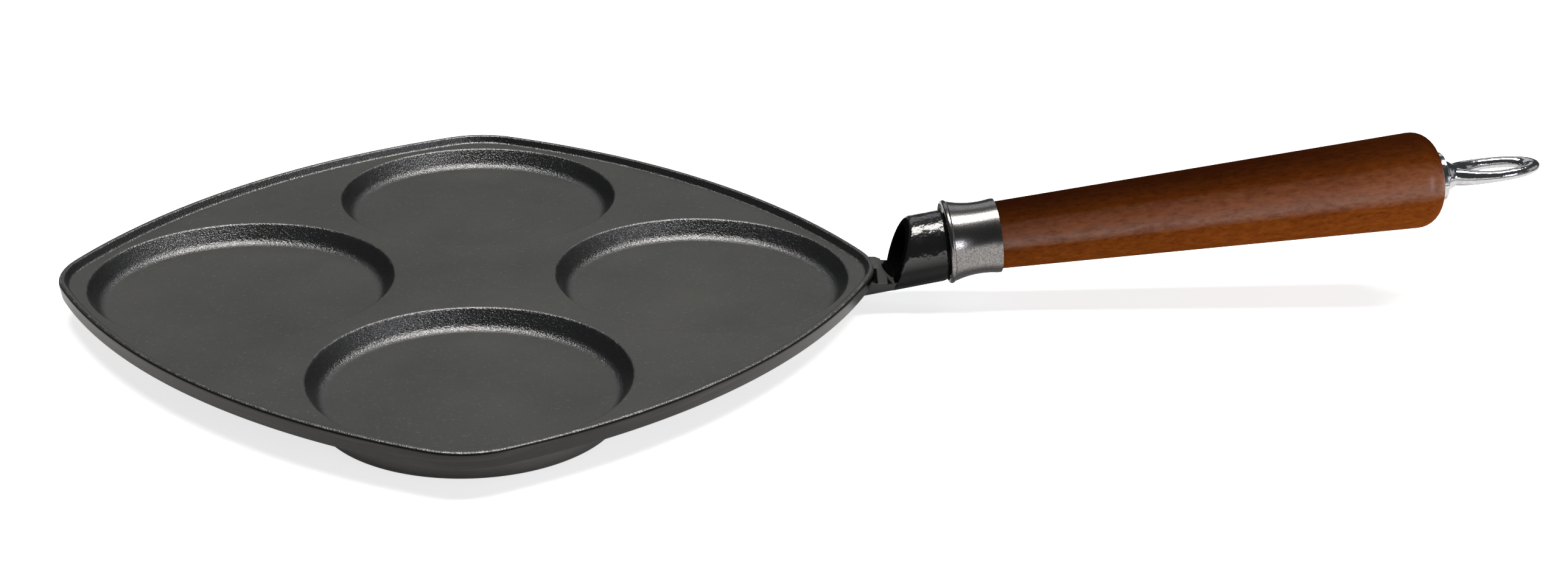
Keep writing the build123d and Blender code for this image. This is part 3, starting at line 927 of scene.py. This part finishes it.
def neck():
    """Points and painted shade of the sections. Lower edge: y = radius * sin(turn), z = axis height +
    stretch * radius * cos(turn). Towards the mouth x grows by tan(lean) * height over the axis."""
    x = np.concatenate([np.linspace(NECK_START, WEB_START, SECTIONS_BEFORE_WEB),
                        np.linspace(WEB_START, FINE_START, WEB_SECTIONS),
                        np.linspace(FINE_START, FINE_END, FINE_SECTIONS)[1:],
                        np.linspace(FINE_END, MOUTH_X + NECK_OVERLAP, LAST_SECTIONS)[1:]])[:, None]
    webbed = np.arange(len(x))[:, None] >= SECTIONS_BEFORE_WEB
    stretch, middle = 1 / math.cos(SOCKET_TILT), axis_height(x)
    ledge = np.interp(x, LEDGE_X, LEDGE_HEIGHT)
    ledge_turn = np.arccos((ledge - middle) / (stretch * NECK_RADIUS))
    share = np.linspace(0, 1, TOP_COUNT)
    across = (2 * share - 1) * NECK_RADIUS * np.sin(ledge_turn)
    top, shaded_share = neck_top(x, across, ledge, webbed)
    turn = ledge_turn + (2 * math.pi - 2 * ledge_turn) * share[1:-1]
    y = np.concatenate([across, NECK_RADIUS * np.sin(turn)], 1)
    z = np.concatenate([top, middle + stretch * NECK_RADIUS * np.cos(turn)], 1)
    near_mouth = np.clip((x - LEAN_START) / (MOUTH_X - LEAN_START), 0, 1)
    lean = math.tan(MOUTH_LEAN) * (z - axis_height(MOUTH_X)) * near_mouth
    return np.stack([x + lean, y, z], -1), np.concatenate([shaded_share, np.zeros_like(turn)], 1)


def ends_closed(surface):
    """Closes a tube of sections with a point in the middle of its first and last section."""
    middle = [surface[end].mean(0) + 0 * surface[end] for end in (0, -1)]
    return np.concatenate([middle[0][None], surface, middle[1][None]])


neck_surface, neck_painted_shade = neck()
end_painted_shade = 0 * neck_painted_shade[:1]
print("The neck has", len(neck_surface), "sections of", neck_surface.shape[1], "points")

# %% [markdown]
# ## Paint of the socket
#
# The socket is black and glossy, with ripples of the casting under the paint. Handling has
# rubbed its lower half dull, and the inside is painted black as shade. The border between gloss
# and rubbed paint could follow the height, but the tube rises, so it follows how far a point
# faces up.

# %% Paint of the socket
PAINT_TONE, PAINT_FLECK = grey(0.005), grey(0.03)
NOISE_RANGE = (0.3, 0.7)
PAINT_ROUGHNESS = (0.12, 0.19)
RUBBED_BELOW, PAINTED_ABOVE = -0.2, 0.2
MOUTH_BAND, LOW_MOUTH_BAND, LOW_MOUTH_HEIGHT = 0.7 * MM, 0.9 * MM, 15 * MM


def socket_iron():
    """Rubbed paint where the surface faces down, glossy where it faces up, and black painted shade
    inside.
    """
    material, tree = new_material("socket_iron")
    skin = skin_of(tree, grain=330.0, flecks=0.3)
    tone = mix_colours(tree, skin["Fleck"], PAINT_TONE, PAINT_FLECK)
    ripples = bump(tree, skin["Height"], strength=0.5, distance=0.6 * MM)
    roughness = between(tree, skin["Cloud"], *NOISE_RANGE, *PAINT_ROUGHNESS)
    paint = principled(tree, Base_Color=tone, Roughness=roughness, IOR=1.8, Normal=ripples)
    rubbed = principled(tree, Base_Color=tone, Roughness=0.35, IOR=1.24, Normal=ripples)
    facing = axis_of(tree, add(tree, "ShaderNodeNewGeometry").outputs["Normal"], "Z")
    outside = mix_shaders(tree, between(tree, facing, RUBBED_BELOW, PAINTED_ABOVE), rubbed, paint)
    finish_material(tree, mix_shaders(tree, attribute(tree, "inside"), outside, painted_shade_black(tree)))
    return material


def socket_painted_shade():
    """Painted shade: 1 from the row that reaches the mouth to the end wall, and on the lowest part of the
    mouth.
    """
    first_row = np.argmax(tube_line[:, 1] <= mouth_along + MOUTH_BAND)
    in_bore = np.arange(len(tube_line))[:, None] > first_row
    low_mouth = (tube_line[:, 1:] <= mouth_along + LOW_MOUTH_BAND) & (tube[..., 2] < LOW_MOUTH_HEIGHT)
    return 1.0 * (in_bore | low_mouth)


painted = socket_iron()
print("Material", painted.name, "has", len(painted.node_tree.nodes), "nodes")

# %% Build the neck and the socket
neck_piece = make_piece("neck", [(ends_closed(neck_surface), True, False)], iron, "pan",
                        values={"inside": [np.concatenate([end_painted_shade, neck_painted_shade, end_painted_shade])]})
socket = make_piece("socket", [(tube, True, True)], painted, "pan", values={"inside": [socket_painted_shade()]})

# %% [markdown]
# ## Wooden handle
#
# The handle is turned about the axis of the rod, from a spigot inside the ferrule to a thick,
# rounded butt. A cylinder with a taper would lack the spigot's step and the round, so it is a
# turned profile too. The wood has a short mottle and pores drawn out along the handle. Its top
# is painted darker, as painted shade. Wax has built up on its shoulders, and the rest is dry.
# The grain could be a picture of wood, but noise that is stretched along the axis has no seam
# round the turning.

# %% Shape of the handle
WOOD_NECK, WOOD_BUTT = 11.2 * MM, 16.4 * MM     # radius at the ferrule, and before the butt's round
NECK_ROUND, BUTT_ROUND = 0.3 * MM, 7.5 * MM
SPIGOT = 10.1 * MM                              # radius inside the ferrule
FERRULE_WALL, FERRULE_EDGE, WOOD_END = 2 * MM, 16.6 * MM, 166 * MM      # along the axis
WOOD_STEP, TURNED_COUNT = 8 * MM, 128


def turned(profile):
    """Each point of (radius, along) goes round the handle's axis."""
    return on_axis(JOINT, HANDLE_TILT, profile[:, 1:], profile[:, :1], around(TURNED_COUNT))


wood_profile = spaced(rounded((ROD_HOLE, FERRULE_WALL, 0), (SPIGOT, FERRULE_WALL, 0),
                              (SPIGOT, FERRULE_EDGE, 0), (WOOD_NECK, FERRULE_EDGE, NECK_ROUND),
                              (WOOD_BUTT, WOOD_END, BUTT_ROUND), (ROD_HOLE, WOOD_END, 0)), WOOD_STEP)
print("The handle shows", round((WOOD_END - FERRULE_EDGE) / MM, 1), "mm of wood")

# %% Place on the handle
AXIS_LEVEL = JOINT[2] * math.cos(HANDLE_TILT) - JOINT[0] * math.sin(HANDLE_TILT)


def levelled(tree):
    """Object coordinates turned by the handle's tilt, so that x runs along the handle."""
    place = object_place(tree)
    return add(tree, "ShaderNodeMapping", Vector=place, Rotation=(0, HANDLE_TILT, 0)).outputs[0]


def turned_up(tree, level):
    """0 on the handle's underside and 1 on its top: the upright part of the spoke from the axis,
    which is the centred place without its x, brought to a length of 1."""
    centred = add(tree, "ShaderNodeMapping", Vector=level, Scale=(0, 1, 1), Location=(0, 0, -AXIS_LEVEL))
    spoke = add(tree, "ShaderNodeVectorMath", {"operation": "NORMALIZE"}, i0=centred.outputs[0])
    return between(tree, axis_of(tree, spoke.outputs[0], "Z"), -1.0, 1.0)


print("The rod's axis passes the origin at a distance of", round(AXIS_LEVEL / MM, 2), "mm")

# %% Stained wood
WOOD_TONES = [(0.32, (0.125, 0.028, 0.0035)), (0.5, (0.190, 0.047, 0.0062)),
              (0.68, (0.255, 0.068, 0.010))]
BROAD_SCALE, BROAD_SHARE, MOTTLE_SHARE = 28.0, 0.3, 0.7
PORE_TONE, PORE_SHARE, PORE_BAND = (0.040, 0.010, 0.002), 0.45, (0.46, 0.30)
# Painted shade: what is left of the wood's colour, from the handle's underside (0) to its top (1). It is
# darkest along the top.
PAINTED_TOP_SHADE = [(0.0, grey(0.9)), (0.45, grey(0.95)), (0.66, (0.86, 0.85, 0.83)),
         (0.84, (0.36, 0.34, 0.32)), (0.95, (0.17, 0.15, 0.14)), (1.0, (0.11, 0.09, 0.08))]
PALER_ALONG, PALER_TONES = (0.19, 0.33), (grey(0.92), grey(1.30))


def wood_tone(tree, level, upward, mottle, pores):
    """Tone by mottle and a broad noise, darker in the pores, times the painted shade that darkens
    the top, and paler towards the butt."""
    broad = combine(tree, "MULTIPLY", noise(tree, level, BROAD_SCALE, detail=2.0), BROAD_SHARE)
    cloudy = combine(tree, "ADD", combine(tree, "MULTIPLY", mottle, MOTTLE_SHARE), broad)
    tone = ramp(tree, cloudy, WOOD_TONES)
    in_pore = combine(tree, "MULTIPLY", between(tree, pores, *PORE_BAND), PORE_SHARE)
    tone = mix_colours(tree, in_pore, tone, PORE_TONE)
    # Painted shade: the handle's top is darkened, as if it lay in shade.
    tone = mix_colours(tree, 1.0, tone, ramp(tree, upward, PAINTED_TOP_SHADE), "MULTIPLY")
    to_butt = between(tree, axis_of(tree, level, "X"), *PALER_ALONG)
    return mix_colours(tree, 1.0, tone, mix_colours(tree, to_butt, *PALER_TONES), "MULTIPLY")


# The stain printed here is the painted shade on the handle's top.
print("On the handle's top the stain leaves", PAINTED_TOP_SHADE[-1][1][0], "of the red")

# %% Waxed and dry wood
MOTTLE_STRETCH, PORE_STRETCH = (250.0, 640.0, 640.0), (420.0, 1500.0, 1500.0)
WAX_STARTS, WAX_ENDS, WAX_PATCHES = (0.44, 0.57), (0.84, 0.69), (0.35, 0.6, 0.7, 1.25)


def wood_finish():
    """Dry wood, mixed with waxed wood by a band on the shoulders times patches of the mottle."""
    material, tree = new_material("handle_wood")
    level = levelled(tree)
    upward = turned_up(tree, level)
    mottle = noise(tree, stretched(tree, level, MOTTLE_STRETCH), 1.0, detail=5.0, roughness=0.7)
    pores = noise(tree, stretched(tree, level, PORE_STRETCH), 1.0, roughness=0.6)
    tone = wood_tone(tree, level, upward, mottle, pores)
    open_pores = bump(tree, pores, strength=0.2, distance=0.2 * MM)
    dry = principled(tree, Base_Color=tone, Roughness=0.7, IOR=1.05, Normal=open_pores)
    waxed = principled(tree, Base_Color=tone, Roughness=0.40, IOR=1.72, Normal=open_pores)
    band = combine(tree, "MULTIPLY", between(tree, upward, *WAX_STARTS), between(tree, upward, *WAX_ENDS))
    wax = combine(tree, "MULTIPLY", band, between(tree, mottle, *WAX_PATCHES))
    finish_material(tree, mix_shaders(tree, wax, dry, waxed))
    return material


wood = wood_finish()
print("Material", wood.name, "has", len(wood.node_tree.nodes), "nodes")

# %% Build the handle
handle = make_piece("handle", [(turned(wood_profile), True, True)], wood, "pan", ["wood_handle"])

# %% [markdown]
# ## Metal finishes
#
# The ferrule, the rod, the nut and the washer already have their shape in the frame, so they
# only get a metal. The ferrule is a soft, pitted silver metal, duller in its pits. The hanging
# loop is chromed: bright, slightly wavy from the casting under the plating, and with the fine
# line where the halves of its mould met. The line could be a groove in the mesh, but at a few
# tenths of a millimetre a darker stripe does the same. The other three are plain steel.

# %% Pitted metal of the ferrule
PIT_TONES = [(0.30, (0.115, 0.111, 0.112)), (0.62, (0.30, 0.287, 0.278))]
PIT_SCALE, PIT_ROUGHNESS = 2100.0, (0.30, 0.15)


def cast_silver():
    """One noise gives the pits their depth, their darker tone and their duller gloss."""
    material, tree = new_material("ferrule_metal")
    pits = noise(tree, object_place(tree), PIT_SCALE, roughness=0.6)
    roughness = between(tree, pits, *NOISE_RANGE, *PIT_ROUGHNESS)
    finish_material(tree, principled(tree, Base_Color=ramp(tree, pits, PIT_TONES), Metallic=1.0,
                                     Roughness=roughness,
                                     Normal=bump(tree, pits, strength=0.2, distance=0.1 * MM)))
    return material


silver = cast_silver()
print("Material", silver.name, "has", len(silver.node_tree.nodes), "nodes")

# %% Chrome of the loop
CHROME_TONES = [(0.3, (0.48, 0.48, 0.49)), (0.6, (0.58, 0.58, 0.59))]
PARTING_FADE, PARTING_TONE = (0.22 * MM, 0.08 * MM), grey(0.10)


def chrome():
    """Bright plating with shallow waves. The parting line is dark where the distance from the
    handle's level middle plane is nearly nothing."""
    material, tree = new_material("loop_chrome")
    place = object_place(tree)
    off = combine(tree, "SUBTRACT", axis_of(tree, levelled(tree), "Z"), AXIS_LEVEL)
    parting = between(tree, combine(tree, "ABSOLUTE", off), *PARTING_FADE)
    tone = mix_colours(tree, parting, ramp(tree, noise(tree, place, 900.0), CHROME_TONES), PARTING_TONE)
    waves = bump(tree, noise(tree, place, 380.0, detail=2.0), strength=0.35, distance=0.6 * MM)
    finish_material(tree, principled(tree, Base_Color=tone, Metallic=1.0, Roughness=0.13, Normal=waves))
    return material


print("The loop's parting line is", round(2 * PARTING_FADE[0] / MM, 2), "mm wide with its fade")

# %% Steel, and the nodes that get a metal
STEEL_TONES = [(0.3, (0.30, 0.29, 0.28)), (0.7, (0.45, 0.44, 0.42))]


def steel():
    """Plain steel with slow spots."""
    material, tree = new_material("plain_steel")
    tone = ramp(tree, noise(tree, object_place(tree), 700.0), STEEL_TONES)
    finish_material(tree, principled(tree, Base_Color=tone, Metallic=1.0, Roughness=0.35))
    return material


finishes = {"ferrule": (silver, "ferrule_metal")}
plain = steel()
for name in ("tie_rod", "hex_nut", "lock_washer"):
    finishes[name] = (plain, "plain_steel")
for name, (material, slot) in finishes.items():
    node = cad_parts[name]
    node.data.materials.clear()
    node.data.materials.append(material)
print("Metals given to", ", ".join(finishes))

# %% [markdown]
# ## Hanging loop
#
# The loop is one plated casting: a flange against the wood, a stem that flares down to it, and
# an oval eye whose legs are rounded in section, thick at the root and thin towards the tip. A
# torus has legs of one thickness and no root. So the eye is a ring of sections between an outer
# and an inner oval, and the stem is turned and then flattened into the eye's root.

# %% Sizes of the loop
FLANGE_RADIUS, FLANGE_THICK, FLANGE_ROUND = 8.25 * MM, 2.5 * MM, 0.4 * MM
STEM_FOOT, STEM_RADIUS = 7.5 * MM, 4.5 * MM
STEM_END, ROOT_END, ROD_DEPTH = 7 * MM, 10 * MM, 5.5 * MM       # along the axis, from the wood
FLATTER_START, FLATTEST = STEM_END - 2 * MM, 0.44
EYE_MIDDLE = 20.5 * MM
EYE_OUTER = (17.7 * MM, 15.8 * MM, 7.85 * MM)   # reach to the wood, reach outwards, half width
EYE_HOLE = (9.0 * MM, 10.0 * MM, 4.2 * MM)
LEG_THIN, ROOT_THICK = 1.9 * MM, 3.8 * MM       # half heights
TAPER_START, LEG_TAPER = 3.2 * MM, 20.2 * MM
RING_COUNT, LEG_COUNT, FLARE_COUNT, ROOT_COUNT = 96, 28, 10, 7
loop_foot = placed(JOINT, HANDLE_TILT, WOOD_END, 0, 0)
print("The eye ends", round((EYE_MIDDLE + EYE_OUTER[1]) / MM, 1), "mm from the wood")


# %% Shape of the loop
def oval(turn, back, front, half):
    """Two half ellipses that share a width: back is the reach towards the wood, front the other."""
    return EYE_MIDDLE + np.where(np.cos(turn) > 0, front, back) * np.cos(turn), half * np.sin(turn)


def eye_ring():
    """Sections between the outer and the inner oval. In a section, across = middle + half width *
    cos(angle) and up = half height * sin(angle); the half height thins as a square."""
    turn, angle = around(RING_COUNT)[:, None], around(LEG_COUNT)[None, :]
    outer, inner = np.array(oval(turn, *EYE_OUTER)), np.array(oval(turn, *EYE_HOLE))
    along, across = (outer + inner) / 2 + (outer - inner) / 2 * np.cos(angle)
    thinned = np.clip((along - TAPER_START) / LEG_TAPER, 0, 1)
    half_height = LEG_THIN + (ROOT_THICK - LEG_THIN) * (1 - thinned) ** 2
    return placed(loop_foot, HANDLE_TILT, along, across, half_height * np.sin(angle))


def stem_and_flange():
    """Turned: flange, then radius = stem + (foot - stem) * (1 - sqrt(1 - way^2)) down the flare.
    From just before the stem's end the sections get flatter. The rod's hole closes the line."""
    flange = rounded((ROD_HOLE, 0, 0), (FLANGE_RADIUS, 0, FLANGE_ROUND),
                     (FLANGE_RADIUS, FLANGE_THICK, FLANGE_ROUND), (STEM_FOOT, FLANGE_THICK, 0))
    along = np.linspace(FLANGE_THICK, STEM_END, FLARE_COUNT)[1:]
    way = (STEM_END - along) / (STEM_END - FLANGE_THICK)
    flare = np.stack([STEM_RADIUS + (STEM_FOOT - STEM_RADIUS) * (1 - np.sqrt(1 - way ** 2)), along], 1)
    past = np.linspace(STEM_END, ROOT_END, ROOT_COUNT)[1:]
    root = np.stack([0 * past + STEM_RADIUS, past], 1)
    closing = np.array([(0, ROOT_END), (0, ROD_DEPTH), (ROD_HOLE, ROD_DEPTH)])
    line = np.concatenate([flange, flare, root, closing])
    flatter = np.interp(line[:, 1], (FLATTER_START, ROOT_END), (1, FLATTEST))[:, None]
    angle = around(RING_COUNT)
    across, up = line[:, :1] * np.sin(angle), line[:, :1] * flatter * np.cos(angle)
    return placed(loop_foot, HANDLE_TILT, line[:, 1:], across, up)


loop = make_piece("loop", [(eye_ring(), True, True), (stem_and_flange(), True, True)], chrome(), "loop",
                  ["hanging_loop"])
